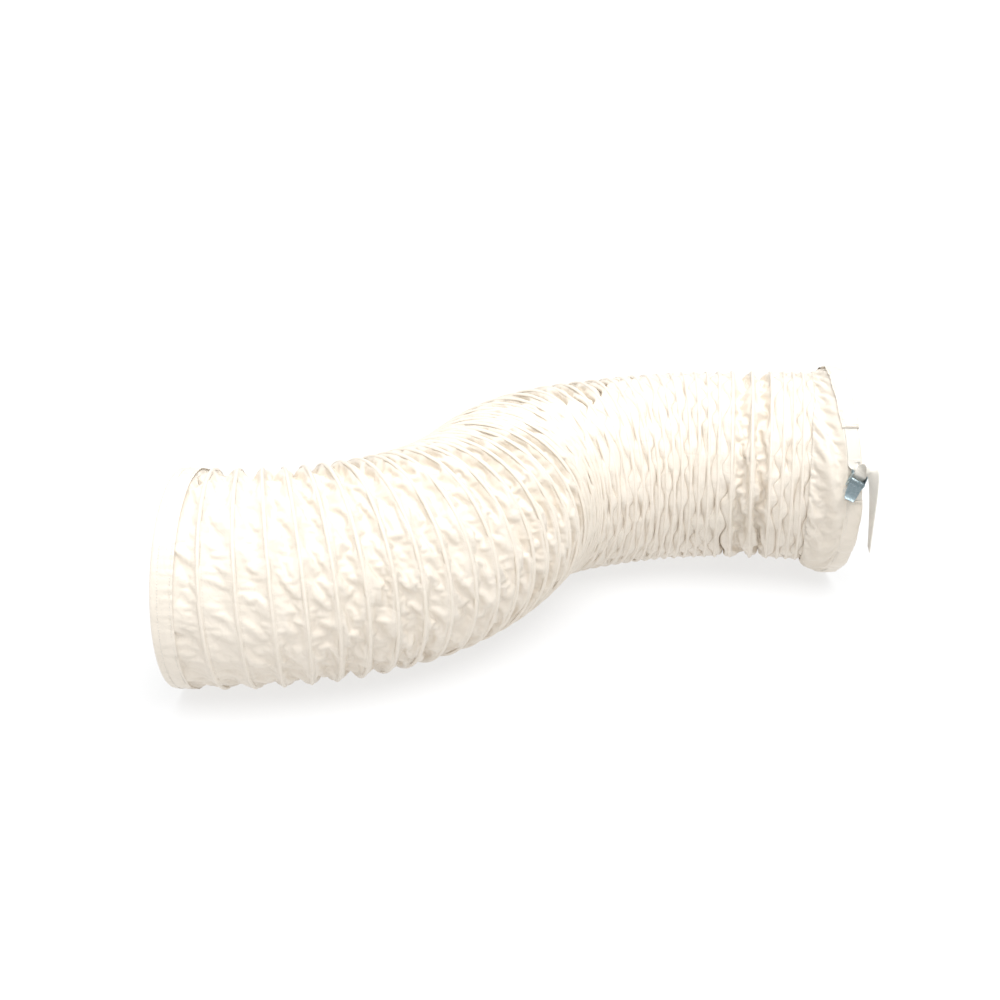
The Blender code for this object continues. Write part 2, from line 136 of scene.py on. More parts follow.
# ---------------------------------------------------------------- mesh building
def build_mesh(name, points, faces, uv=None, smooth=True):
    """An object at the origin from points (n, 3) and quads (m, 4); uv is (n, 2) per point."""
    mesh = bpy.data.meshes.new(name)
    points = np.ascontiguousarray(points, dtype=np.float32)
    faces = np.ascontiguousarray(faces, dtype=np.int32)
    count, corners = faces.shape
    mesh.vertices.add(len(points))
    mesh.vertices.foreach_set("co", points.ravel())
    mesh.loops.add(faces.size)
    mesh.loops.foreach_set("vertex_index", faces.ravel())
    mesh.polygons.add(count)
    mesh.polygons.foreach_set("loop_start", np.arange(count, dtype=np.int32) * corners)
    mesh.update(calc_edges=True)
    mesh.polygons.foreach_set("use_smooth", np.full(count, smooth))
    if uv is not None:
        layer = mesh.uv_layers.new(name="cloth")
        layer.data.foreach_set("uv", np.asarray(uv, dtype=np.float32)[faces.ravel()].ravel())
    mesh.validate()
    made = bpy.data.objects.new(name, mesh)
    bpy.context.scene.collection.objects.link(made)
    return made


def grid_faces(rows, columns, closed=False):
    """Quads of a grid whose points run column by column along each row."""
    i = np.arange(rows - 1)[:, None]
    j = np.arange(columns if closed else columns - 1)[None, :]
    k = (j + 1) % columns
    return np.stack([i * columns + j, (i + 1) * columns + j,
                     (i + 1) * columns + k, i * columns + k], axis=-1).reshape(-1, 4)


def cell_corners(i, j):
    """Corners of grid cells, as (row, column) numbers in the order of their quads."""
    rows = np.stack([i + 0 * j, i + 1 + 0 * j, i + 1 + 0 * j, i + 0 * j], axis=-1)
    columns = np.stack([j + 0 * i, j + 0 * i, j + 1 + 0 * i, j + 1 + 0 * i], axis=-1)
    return rows, columns


def outward(item):
    """Turns a closed piece's faces outward."""
    form = bmesh.new()
    form.from_mesh(item.data)
    bmesh.ops.recalc_face_normals(form, faces=form.faces)
    form.to_mesh(item.data)
    form.free()
    return item


# ---------------------------------------------------------------- cloth on the helical grid
ROWS = 9                                      # rows of fabric between two turns of wire
COLUMNS = 176
FIRST_TURN = -1                               # rows start one turn before the mouth
TURN_ROWS = int(np.ceil(ALL_TURNS)) + 2
COARSE_ROUNDS = 60
FINE_ROUNDS = 50
COARSE_WEIGHT = 0.000004                      # fall in one round
FINE_WEIGHT = 0.000002
WIDE_BAY = 0.031                              # room between turns at which pleats have gone
CLOSE_BAY = 0.023                             # and at which they are whole
SHUT_BAY = 0.0235                             # below this the folds stay as they were laid
PLEAT_SHARE = 1.10                            # fabric left outside the pleat, in widths
DEEPEST_DIP = 0.010
SLANTS = 13                                   # slanting folds round one turn
SLANT_RISE = 0.64                             # share of a slant that goes forward
SLANT_STEP = 0.37                             # slants shift by this from one turn to the next
SLANT_REACH = 0.27
LIP = 0.00025                                 # half the gap between the lips of a fold
LARGEST_RADIUS = FABRIC_RADIUS + 0.0003       # on the wire; lower between two turns


def shift_forward(grid, rows):
    """Each point's neighbour one column on; past the last column it is `rows` rows further."""
    if rows == 0:
        return np.roll(grid, -1, axis=1)
    wrapped = np.concatenate([grid[rows:, :1], grid[-rows:, -1:]], axis=0)
    return np.concatenate([grid[:, 1:], wrapped], axis=1)


def shift_back(grid, rows):
    """Hands each point's value to its neighbour one column on: undoes shift_forward."""
    if rows == 0:
        return np.roll(grid, 1, axis=1)
    wrapped = np.concatenate([np.zeros_like(grid[:rows, :1]), grid[:-rows, -1:]], axis=0)
    return np.concatenate([wrapped, grid[:, :-1]], axis=1)


def pull(gap, rest, strength, shorten_only=False):
    """Half the move that brings two points to their rest distance."""
    length = np.sqrt((gap * gap).sum(axis=-1, keepdims=True)) + 1e-9
    excess = length - rest
    if shorten_only:
        excess = np.minimum(excess, 0.0)
    return gap * (0.5 * strength * excess / length)


def spring_moves(points, rows, along, round_it):
    """Sum of the pulls on every point: along, round, both diagonals, and a stiffness that
    stops the points two and four apart from folding close together."""
    diagonal = np.sqrt(along**2 + round_it**2)
    move = np.zeros_like(points)
    part = pull(points[1:] - points[:-1], along, 0.40)
    move[:-1] += part
    move[1:] -= part
    beside = shift_forward(points, rows)
    part = pull(beside - points, round_it, 0.40)
    move += part - shift_back(part, rows)
    spread = np.zeros_like(points)
    part = pull(beside[1:] - points[:-1], diagonal, 0.16)
    move[:-1] += part
    spread[1:] = part
    move -= shift_back(spread, rows)
    spread = np.zeros_like(points)
    part = pull(beside[:-1] - points[1:], diagonal, 0.16)
    move[1:] += part
    spread[:-1] = part
    move -= shift_back(spread, rows)
    part = pull(points[2:] - points[:-2], 2 * along * 0.93, 0.05, True)
    move[:-2] += part
    move[2:] -= part
    two_on = shift_forward(beside, rows)
    part = pull(two_on - points, 2 * round_it * 0.95, 0.08, True)
    move += part - shift_back(shift_back(part, rows), rows)
    return move


def relax(points, held, rows, rounds, along, round_it, gravity, keep):
    """Cloth settling: every round moves each free point by its springs, its drift and its
    weight, never more than 0.3 of a cell, and keep(points) brings strays back."""
    before = points.copy()
    free = (~held)[..., None].astype(np.float32)
    for count in range(rounds):
        move = spring_moves(points, rows, along, round_it)
        drift = (points - before) * (0.85 if count < rounds - 30 else 0.5)
        before = points.copy()
        move += drift
        move[..., 2] -= gravity
        size = np.sqrt((move * move).sum(axis=-1, keepdims=True)) + 1e-12
        points = points + move * free * np.minimum(1.0, 0.3 * along / size)
        if count % 5 == 4 or count == rounds - 1:
            points = np.where(free > 0, keep(points), points).astype(np.float32)
    return points


def place_of(points, guess):
    """Distance along, angle and radius of points near a guessed distance: Newton steps."""
    distance = np.array(guess, dtype=float)
    for _ in range(3):
        centre, across, up = base_at(distance)
        offset = points - centre
        side = (offset * across).sum(axis=-1)
        stretch = np.maximum(1.0 - side * heading_slope(distance), 0.2)
        ahead = (offset * np.cross(across, up)).sum(axis=-1)
        distance = np.clip(distance + ahead / stretch, 0.0, LENGTH)
    centre, across, up = base_at(distance)
    offset = points - centre
    x = (offset * across).sum(axis=-1)
    z = (offset * up).sum(axis=-1)
    return distance, np.arctan2(z, x), np.hypot(x, z)


def soft_noise(rng, turns, angle, waves_along, waves_round, count=14):
    """Smooth noise: a sum of plane waves in turns and angle with random phases; most of their
    crests slant forward along the duct as they run down its near side."""
    total = np.zeros(np.broadcast(turns, angle).shape)
    for _ in range(count):
        a = rng.uniform(-0.35, 1) * waves_along
        b = -rng.integers(waves_round // 3, waves_round + 1)
        total += np.sin(2 * np.pi * a * turns + b * angle + rng.uniform(0, 2 * np.pi))
    return total / np.sqrt(count)


def heading_slope(distance):
    """Change of heading per metre at a distance."""
    return np.interp(distance, FINE, FINE_SLOPE)


def strip_places(rows, columns):
    """Turns, angle and held places of the helical grid, and its two turns' distances."""
    turns0 = FIRST_TURN + np.arange(TURN_ROWS * rows + 1) / rows
    angle = np.arange(columns) * 2 * np.pi / columns
    turns = turns0[:, None] + angle[None, :] / (2 * np.pi)
    distance = clip_distance(turns)
    phase = ((np.arange(len(turns0)) % rows) / rows)[:, None]
    clipped = (distance <= HEM_LENGTH) | (distance >= LENGTH)
    held = np.broadcast_to(phase == 0.0, distance.shape) | clipped
    low, high = clip_distance(turns - phase), clip_distance(turns - phase + 1)
    return turns, angle[None, :], phase, distance, held, low, high


def clip_distance(turns):
    """Distance along the duct of turns, kept between the hem and the cuff's seam."""
    return np.clip(distance_of_turn(np.clip(turns, 0, ALL_TURNS)), HEM_LENGTH, LENGTH)


def bay_width(angle, distance, low, high):
    """Room between two turns of wire: less on the inside of a bend, more on the outside."""
    width = (high - low) * (1.0 - FABRIC_RADIUS * np.cos(angle) * heading_slope(distance))
    return np.maximum(width, 0.004)


def slanting(turns, angle, noise):
    """0 to 1 and back, slowly up and quickly down, SLANTS times a turn: the fold's mouth
    crosses from one wire to the next on a slant, then starts again."""
    sweep = (angle * SLANTS / (2 * np.pi) + SLANT_STEP * turns + 0.30 * noise) % 1.0
    step = np.where(sweep < SLANT_RISE, sweep / SLANT_RISE, (1.0 - sweep) / (1.0 - SLANT_RISE))
    return 0.5 - 0.5 * np.cos(np.pi * step)


def first_folds(turns, angle, phase, distance, held, low, high):
    """Fabric before it settles.  From each wire it dips a little towards the fold's mouth
    between the two wires, and what is spare dives in there as a closed pleat:
    pleat depth = (fabric - PLEAT_SHARE width) / 2, less where the turns are far apart, and the dip
    makes up the rest of the length, up to DEEPEST_DIP.
    The mouth wanders between the wires and the dip's depth changes, both as soft noise;
    where the turns lie close the mouth slants across from wire to wire."""
    rng = np.random.default_rng(7)
    bay = turns - phase + 0.5
    width = bay_width(angle, (low + high) / 2, low, high)
    close = np.clip((WIDE_BAY - width) / (WIDE_BAY - CLOSE_BAY), 0.0, 1.0)
    pleat = np.maximum((TURN_FABRIC - PLEAT_SHARE * width) / 2, 0.0) * close
    apron = TURN_FABRIC / 2 - pleat
    dip = 0.85 * np.sqrt(np.maximum(apron**2 - (width / 2)**2, 0.0))
    dip = np.minimum(dip, DEEPEST_DIP)
    uneven = np.clip(0.85 + 0.60 * soft_noise(rng, bay, angle, 1.6, 17, 18), 0.15, 1.7)
    dip = dip * uneven
    wander = soft_noise(rng, bay, angle, 1.0, 12)
    mouth = 0.5 + np.clip(0.20 * wander, -0.30, 0.30) * (1.0 - 0.8 * close)
    slow = soft_noise(rng, bay, angle, 0.8, 4)
    mouth = mouth + SLANT_REACH * (2.0 * slanting(bay, angle, slow) - 1.0) * close
    from_middle = np.abs(2 * phase - 1) * TURN_FABRIC / 2
    share = np.clip((from_middle - pleat) / apron, 0.0, 1.0)
    lip = np.minimum(LIP / width, 0.1)
    near_wire = np.where(phase < 0.5, 0.0, 1.0)
    edge = mouth + np.where(phase < 0.5, -lip, lip) * (np.abs(phase - 0.5) > 1e-6)
    across = edge + (near_wire - edge) * share
    rough = 0.0012 * soft_noise(rng, turns - 0.9 * (phase - 0.5) * close, angle, 3.0, 34, 18)
    rough = rough * np.maximum(np.sin(np.pi * phase), 0.9 * np.sin(np.pi * share))
    fall = np.cos(share * np.pi / 2) * (1.0 - close) + (1.0 - share) * close
    depth = dip * fall + np.maximum(pleat - from_middle, 0.0) + rough
    radius = np.minimum(FABRIC_RADIUS - depth, FABRIC_RADIUS)
    points = duct_point(np.where(held, distance, low + (high - low) * across), angle,
                        np.where(held, FABRIC_RADIUS, radius))
    return points.astype(np.float32)


def settle(points, rows, columns, rounds, gravity):
    """Relaxes the fabric on a grid of that many rows a turn and columns: every point stays
    between its two turns of wire and inside the largest radius."""
    turns, angle0, phase, _, held, low, high = strip_places(rows, columns)
    dents = np.clip(0.9 + 0.9 * soft_noise(np.random.default_rng(3), turns, angle0, 1.3, 15, 20),
                    0.15, 2.6)
    largest = LARGEST_RADIUS - (np.minimum(0.12 * (high - low), 0.0032) * dents
                                * np.sin(np.pi * phase)**0.6)
    margin = np.minimum(0.0010, (high - low) * 0.08)
    low, high = low + margin, high - margin

    def keep(loose):
        distance, angle, radius = place_of(loose, (low + high) / 2)
        stray = (distance < low) | (distance > high) | (radius > largest)
        fixed = duct_point(np.clip(distance, low, high), angle,
                           np.minimum(radius, largest))
        return np.where(stray[..., None], fixed, loose)

    round_it = 2 * np.pi * FABRIC_RADIUS * 1.004 / columns
    return relax(points, held, rows, rounds, TURN_FABRIC / rows, round_it, gravity, keep)


def relaxed_cover():
    """The fabric after it has settled, first on a coarse grid and then on one twice as fine.
    Where the turns lie close the folds stay shut, as they were laid."""
    points = first_folds(*strip_places(ROWS, COLUMNS))
    points = settle(points, ROWS, COLUMNS, COARSE_ROUNDS, COARSE_WEIGHT)
    points = finer(points, ROWS)
    rounds = FINE_ROUNDS
    points = settle(points, 2 * ROWS, 2 * COLUMNS, rounds, FINE_WEIGHT)
    places = strip_places(2 * ROWS, 2 * COLUMNS)
    width = bay_width(places[1], (places[5] + places[6]) / 2, *places[5:])
    shut = np.clip((SHUT_BAY - width) / 0.002, 0.0, 1.0)[..., None]
    return points + (first_folds(*places) - points) * shut


def finer(points, rows):
    """Catmull-Rom midpoints between rows, then between columns: twice as fine each way."""
    above, below = points[:1], points[-1:]
    padded = np.concatenate([above, points, below], axis=0)
    middle = (9 * (padded[1:-2] + padded[2:-1]) - padded[:-3] - padded[3:]) / 16
    dense = np.empty((2 * len(points) - 1,) + points.shape[1:], dtype=points.dtype)
    dense[::2] = points
    dense[1::2] = middle
    ahead = shift_forward(dense, 2 * rows)
    ahead_two = shift_forward(ahead, 2 * rows)
    behind = np.concatenate([np.concatenate([dense[:2 * rows, -1:], dense[:-2 * rows, -1:]]),
                             dense[:, :-1]], axis=1)
    between = (9 * (dense + ahead) - behind - ahead_two) / 16
    full = np.empty((len(dense), 2 * dense.shape[1], 3), dtype=points.dtype)
    full[:, ::2] = dense
    full[:, 1::2] = between
    return full


def strip_faces(first, last, rows, columns, total):
    """Quads of rows first..last of the helical grid, with the turn's wrap, and their UV corners
    as (row, column) numbers in the unrolled strip."""
    i = np.arange(first, min(last, total - 1 - rows))[:, None]
    j = np.arange(columns)[None, :]
    last_column = j == columns - 1
    k = np.where(last_column, 0, j + 1)
    hop = np.where(last_column, rows, 0)
    corner = np.stack([i * columns + j + 0 * hop, (i + 1) * columns + j + 0 * hop,
                       (i + 1 + hop) * columns + k, (i + hop) * columns + k], axis=-1)
    unrolled = np.stack(cell_corners(i, j), axis=-1)
    return corner.reshape(-1, 4), unrolled.reshape(-1, 4, 2)


def add_fabric(look):
    """The cover in its stretches, cut at whole turns of wire."""
    points = relaxed_cover()
    rows, columns = 2 * ROWS, 2 * COLUMNS
    flat = points.reshape(-1, 3)
    pieces = []
    bounds = [int(round((t - FIRST_TURN) * rows)) for t in section_turns()]
    bounds[0], bounds[-1] = 0, len(points) - 1
    ends = np.interp(SECTIONS, FINE, FINE_TURNS)
    ends[1:-1] = section_turns()[1:-1] + np.full(len(ends) - 2, 0.5)
    for index, (first, last) in enumerate(zip(bounds, bounds[1:]), 1):
        faces, unrolled = strip_faces(first, last, rows, columns, len(points))
        a, b, c, d = (flat[faces[:, k]] for k in range(4))
        area = np.linalg.norm(np.cross(c - a, d - b), axis=1)
        keep = area > 2e-8
        faces, unrolled = faces[keep], unrolled[keep]
        used, small = np.unique(faces, return_inverse=True)
        piece = build_mesh(f"fabric_{index}", flat[used], small.reshape(-1, 4))
        u = unrolled[..., 1] * (2 * np.pi * FABRIC_RADIUS / columns)
        v = (unrolled[..., 0] / rows + FIRST_TURN) * TURN_FABRIC
        layer = piece.data.uv_layers.new(name="cloth")
        layer.data.foreach_set("uv", np.stack([u, v], axis=-1).astype(np.float32).ravel())
        piece.data.materials.append(look)
        thicken(piece, FABRIC_THICKNESS)
        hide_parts(f"cover_{index}")
        pieces.append(piece)
    return pieces


def section_turns():
    """Whole turns of wire nearest to the ends of the CAD's stretches."""
    return [round(float(np.interp(s, FINE, FINE_TURNS))) for s in SECTIONS]


SEAM_STEPS = 120                              # steps of a lap seam round one turn


def add_lap_seams(look):
    """The narrow doubled band over the wire: a low bead carried along the helix."""
    outline = np.array([(-0.0034, -0.0022), (-0.0030, -0.0004), (-0.0020, 0.0009),
                        (-0.0009, 0.0017), (0.0, 0.0019), (0.0009, 0.0017), (0.0020, 0.0009),
                        (0.0030, -0.0004), (0.0034, -0.0022), (0.0, -0.0012)])
    ends = section_turns()
    ends[0] = np.interp(HEM_LENGTH + 0.002, FINE, FINE_TURNS)
    ends[-1] = ALL_TURNS - 0.35
    pieces = []
    for index, (first, last) in enumerate(zip(ends, ends[1:]), 1):
        turns = np.linspace(first, last, int((last - first) * SEAM_STEPS) + 1)
        angle = 2 * np.pi * turns
        centre, across, up = base_at(distance_of_turn(turns))
        along = np.cross(across, up)
        radial = np.cos(angle)[:, None] * across + np.sin(angle)[:, None] * up
        points = (centre[:, None] + (FABRIC_RADIUS + outline[None, :, 1:]) * radial[:, None]
                  + outline[None, :, :1] * along[:, None])
        count = len(outline)
        faces = grid_faces(len(turns), count, closed=True)
        u = np.broadcast_to((angle * FABRIC_RADIUS)[:, None], (len(turns), count))
        v = np.broadcast_to(outline[None, :, 0], (len(turns), count))
        piece = build_mesh(f"lap_seam_{index}", points.reshape(-1, 3), faces,
                           np.stack([u, v], axis=-1).reshape(-1, 2))
        close_ends(piece, len(turns), count)
        piece.data.materials.append(look)
        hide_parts(f"wire_{index}")
        pieces.append(piece)
    return pieces


def close_ends(piece, rows, count):
    """Caps the two ends of a swept tube and turns all faces outward."""
    form = bmesh.new()
    form.from_mesh(piece.data)
    form.verts.ensure_lookup_table()
    form.faces.new([form.verts[k] for k in range(count)])
    form.faces.new([form.verts[(rows - 1) * count + k] for k in range(count)])
    bmesh.ops.recalc_face_normals(form, faces=form.faces)
    form.to_mesh(piece.data)
    form.free()


def edge_ring(turn):
    """Points on the wire over one turn, where one stretch of fabric is cut from the next."""
    angle = np.linspace(0.0, 2 * np.pi, 181)
    return duct_point(distance_of_turn(turn + angle / (2 * np.pi)), angle, LARGEST_RADIUS)


def ride_stretches(pieces):
    """A stretch with one body rides on it.  For one across a joint, the farthest point of its first
    edge and the nearest point of its last along the middle heading are worked out, and the piece
    stays where it lies, its transform baked."""
    turns = section_turns()
    for index, (piece, bodies) in enumerate(zip(pieces, STRETCHES)):
        if len(bodies) == 1:
            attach(piece, bodies[0])
            continue
        middle = (heading_at(SECTIONS[index]) + heading_at(SECTIONS[index + 1])) / 2
        way = np.array((float(np.cos(middle)), float(np.sin(middle)), 0.0))
        first = (edge_ring(turns[index]) @ way).max()
        last = (edge_ring(turns[index + 1]) @ way).min()
        tuple(way * first)
        tuple(way * last)
        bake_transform(piece)


# ---------------------------------------------------------------- cuff, hems and stitches
END_BASE = base_at(0.0)
SEAM_BASE = base_at(LENGTH)
MOUTH_RADIUS = 0.1700                         # outside of the hem tunnel
MOUTH_HEADING = -1.0
CUFF_REACH = 0.054
TUNNEL_WIDTH = 0.026
TUNNEL_CLOTH = 0.056                          # flat width of the tunnel, doubled over
TUNNEL_DEPTH = 0.0052
TUNNEL_OPENING = (137.0, 176.0)               # degrees round the mouth, 180 = near side
BELT_RADIUS = MOUTH_RADIUS - TUNNEL_DEPTH / 2
BUCKLE_ANGLE = 165.0


def mouth_frame():
    """Centre, across, up and outward directions of the cuff's mouth."""
    heading = np.radians(MOUTH_HEADING)
    across = np.array((-np.sin(heading), np.cos(heading), 0.0))
    up = np.array((0.0, 0.0, 1.0))
    centre = SEAM_BASE[0] + CUFF_REACH * np.cross(SEAM_BASE[1], SEAM_BASE[2])
    centre[2] = MOUTH_RADIUS
    return centre, across, up, np.cross(across, up)


MOUTH = mouth_frame()


def mouth_point(angle, radius, axial):
    """Point round the mouth: a slack rim drawn back over the top and under the bottom."""
    centre, across, up, out = MOUTH
    angle, radius, axial = np.broadcast_arrays(angle, radius, axial)
    back = (0.0135 - 0.0020 * np.sin(angle)) * np.sin(angle)**2
    wave = 0.0012 * np.sin(5 * angle + 0.7) * np.sin(angle)**2
    radius = radius + 0.0014 * np.sin(4 * angle + 1.1) * np.sin(angle)**2
    centre = centre + (axial - back + wave)[..., None] * out
    return ring_point(centre, across, up, angle, radius)


def through(stops, count):
    """Curve through stops (n, d), as count rows at equal steps."""
    place = np.linspace(0, len(stops) - 1.000001, count)
    cell = place.astype(int)
    return catmull_rom(np.asarray(stops, dtype=float), cell, (place - cell)[:, None])


def thicken(piece, thickness, offset=-1.0):
    """Gives a sheet its thickness with a Solidify modifier."""
    shell = piece.modifiers.new("thickness", "SOLIDIFY")
    shell.thickness = thickness
    shell.offset = offset
    return piece


def sheet_grid(name, points, width, length, look, closed=False):
    """A sheet from a grid (rows, columns, 3) with its UV map in metres."""
    rows, columns = points.shape[:2]
    faces = grid_faces(rows, columns, closed)
    piece = build_mesh(name, points.reshape(-1, 3), faces)
    j = np.arange(columns if closed else columns - 1)[None, :]
    i = np.arange(rows - 1)[:, None]
    v, u = cell_corners(i, j)
    spans = columns if closed else columns - 1
    both = np.stack([u * width / spans, v * length / (rows - 1)], axis=-1)
    layer = piece.data.uv_layers.new(name="cloth")
    layer.data.foreach_set("uv", both.astype(np.float32).ravel())
    piece.data.materials.append(look)
    return piece


def wobble(rng, angle, along, waves, size):
    """Fine puckers: a few waves round the duct that change along the sheet."""
    total = np.zeros(np.broadcast(angle, along).shape)
    for _ in range(9):
        b = rng.integers(waves // 2, waves)
        total += np.sin(b * angle + rng.uniform(-4, 4) * along + rng.uniform(0, 2 * np.pi))
    return total * size / 3


def stitch_row(centres, along, out, length=0.0026, thick=0.00045):
    """Points and faces of a row of stitches: each is a six-sided bead with small flat ends."""
    ring = np.arange(6) * np.pi / 3
    reach = np.array((-0.5, -0.36, 0.36, 0.5)) * length
    girth = np.array((0.35, 1.0, 1.0, 0.35)) * thick
    side = np.cross(along, out)
    offset = (reach[:, None, None] * along[:, None, None]
              + (girth[:, None] * np.cos(ring))[..., None] * side[:, None, None]
              + (girth[:, None] * np.sin(ring))[..., None] * out[:, None, None])
    points = (centres[:, None, None] + offset).reshape(-1, 3)
    tube = grid_faces(4, 6, closed=True)
    ends = np.array([(0, 1, 2, 3), (0, 3, 4, 5), (21, 20, 19, 18), (23, 22, 21, 18)])
    one = np.concatenate([tube, ends])
    return points, (one[None] + 24 * np.arange(len(centres))[:, None, None]).reshape(-1, 4)


def add_stitches(name, rows, look):
    """One piece from several rows of stitches, each row given as (centres, along, out)."""
    points, faces, count = [], [], 0
    for centres, along, out in rows:
        part, ring = stitch_row(centres, along, out)
        points.append(part)
        faces.append(ring + count)
        count += len(part)
    piece = outward(build_mesh(name, np.concatenate(points), np.concatenate(faces)))
    piece.data.materials.append(look)
    return piece


def unit(vectors):
    """Vectors brought to length 1."""
    return vectors / np.linalg.norm(vectors, axis=-1, keepdims=True)


def ring_stitches(place, first, last, pitch, radius, out_from):
    """A row of stitches round the duct: place(angle) gives its points, radius its size."""
    count = int(abs(last - first) * radius / pitch)
    angle = np.linspace(first, last, count, endpoint=False)
    centres = place(angle)
    along = unit(place(angle + 0.002) - place(angle - 0.002))
    axial = np.cross(out_from[1], out_from[2])
    out = unit(np.cos(angle)[:, None] * out_from[1] + np.sin(angle)[:, None] * out_from[2])
    return centres, along, unit(out - (out @ axial)[:, None] * axial)


HEM_PROFILE = ((0.0318, 0.1549), (0.0270, 0.15465), (0.0200, 0.1551), (0.0135, 0.15465),
               (0.0090, 0.1547), (0.0045, 0.1549), (0.0016, 0.1537), (0.0003, 0.1516),
               (0.0016, 0.1494), (0.0045, 0.1483), (0.0100, 0.1485), (0.0180, 0.1481))
HEM_CLOTH = 0.052                             # flat width of the hem, doubled over
HEM_ROWS = 34
STITCH_PITCH = 0.0042
RING_STEPS = 400


def hem_point(angle, axial, radius):
    """Point of the wire-ring end, at an axial distance inside its mouth."""
    centre, across, up = END_BASE
    angle, axial, radius = np.broadcast_arrays(angle, axial, radius)
    centre = centre + axial[..., None] * np.cross(across, up)
    return ring_point(centre, across, up, angle, radius)


def add_end_hem(look, thread):
    """Fabric folded over the end ring: HEM_PROFILE turned round, with fine puckers."""
    rng = np.random.default_rng(11)
    profile = through(HEM_PROFILE, HEM_ROWS)
    angle = (np.arange(RING_STEPS) * 2 * np.pi / RING_STEPS)[None, :]
    along = np.linspace(0, 1, HEM_ROWS)[:, None]
    pucker = wobble(rng, angle, along, 90, 0.00030) + wobble(rng, angle, along, 24, 0.00045)
    edge = np.clip(1.4 - 4.0 * along, 0.25, 1.0)
    points = hem_point(angle, profile[:, :1] + 0.3 * pucker * edge,
                       profile[:, 1:] + pucker * edge)
    girth = 2 * np.pi * FABRIC_RADIUS
    hem = sheet_grid("end_hem_fabric", points, girth, HEM_CLOTH, look, closed=True)
    thicken(hem, HEM_THICKNESS, 0.0)
    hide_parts("end_hem")
    rows = [ring_stitches(lambda a, x=x, r=r: hem_point(a, x, r), 0.0, 2 * np.pi, STITCH_PITCH,
                          FABRIC_RADIUS, END_BASE)
            for x, r in ((0.0110, 0.15510), (0.0278, 0.15505))]
    seam = add_stitches("end_hem_stitches", rows, thread)
    for piece in (hem, seam):
        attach(piece, "left_end")


CUFF_ROWS = 30
CUFF_COLUMNS = 300
CUFF_CLOTH = 0.044                            # flat width of the cuff
CUFF_SLACK = 1.09
TUNNEL_TUCK = 0.0028                          # cuff's edge runs this far under the tunnel


def smooth_cuff():
    """The cuff without wrinkles: straight lines from the seam to the tunnel's edge, bowed."""
    angle = (np.arange(CUFF_COLUMNS) * 2 * np.pi / CUFF_COLUMNS)[None, :]
    t = np.linspace(0, 1, CUFF_ROWS)[:, None]
    seam = duct_point(LENGTH - 0.0040, angle, FABRIC_RADIUS + 0.0006)
    mouth = mouth_point(angle, MOUTH_RADIUS - 0.0023, TUNNEL_TUCK - TUNNEL_WIDTH)
    line = seam + t[..., None] * (mouth - seam)
    radial = (np.cos(angle)[..., None] * MOUTH[1] + np.sin(angle)[..., None] * MOUTH[2])
    rise = (t * t * (3 - 2 * t) - t) * 0.004 + np.sin(np.pi * t) * 0.0020
    return line + rise[..., None] * radial, radial, t, angle


def add_cuff(look, thread):
    """Loose fabric from the last ring to the tunnel, wrinkled by settling with spare cloth."""
    smooth, radial, t, angle = smooth_cuff()
    rng = np.random.default_rng(23)
    bow = np.sin(np.pi * np.clip(t * 1.1, 0, 1))**0.7
    push = soft_noise(rng, 2.0 * t, angle, 1.0, 10, 16) * 0.0065
    push += soft_noise(rng, 2.0 * t, angle, 2.5, 34, 16) * 0.0016
    points = smooth + ((push - 0.0030) * bow)[..., None] * radial
    held = np.broadcast_to((t <= 0.0) | (t >= 1.0), points.shape[:2])
    along = np.linalg.norm(smooth[1:] - smooth[:-1], axis=-1)[..., None].mean() * CUFF_SLACK
    round_it = 2 * np.pi * (MOUTH_RADIUS - 0.001) / CUFF_COLUMNS
    reach = np.linalg.norm(smooth[-1] - smooth[0], axis=-1)
    scale = (reach / reach.mean())[None, :, None]
    limit = (0.0004 + 0.0110 * np.clip(7 * (1 - t), 0, 1))[..., None]

    def keep(loose):
        offset = loose - smooth
        size = np.linalg.norm(offset, axis=-1, keepdims=True) + 1e-9
        return smooth + offset * np.minimum(1.0, limit / size)

    rounds = 160
    points = relax(points.astype(np.float32), held, 0, rounds, (along * scale).astype(np.float32),
                   round_it, COARSE_WEIGHT, keep)
    points[..., 2] = np.maximum(points[..., 2], 0.0012)
    size = (2 * np.pi * MOUTH_RADIUS, CUFF_CLOTH)
    cuff = sheet_grid("cuff_fabric", points, *size, look, closed=True)
    thicken(cuff, HEM_THICKNESS)
    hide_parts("cuff")
    seam_line = ring_stitches(lambda a: duct_point(LENGTH - 0.0020, a, FABRIC_RADIUS + 0.0012),
                              0.0, 2 * np.pi, STITCH_PITCH, FABRIC_RADIUS, SEAM_BASE)
    seam = add_stitches("cuff_seam_stitches", [seam_line], thread)
    for piece in (cuff, seam):
        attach(piece, "right_end")


TUNNEL_PROFILE = ((-0.0262, -0.0020), (-0.0248, -0.0013), (-0.0215, -0.0008), (-0.0160, -0.0001),
                  (-0.0100, 0.0), (-0.0040, -0.0002), (-0.0008, -0.0011), (0.0, -0.0026),
                  (-0.0008, -0.0041), (-0.0040, -0.0050), (-0.0130, -0.0052), (-0.0220, -0.0048),
                  (-0.0260, -0.0041))


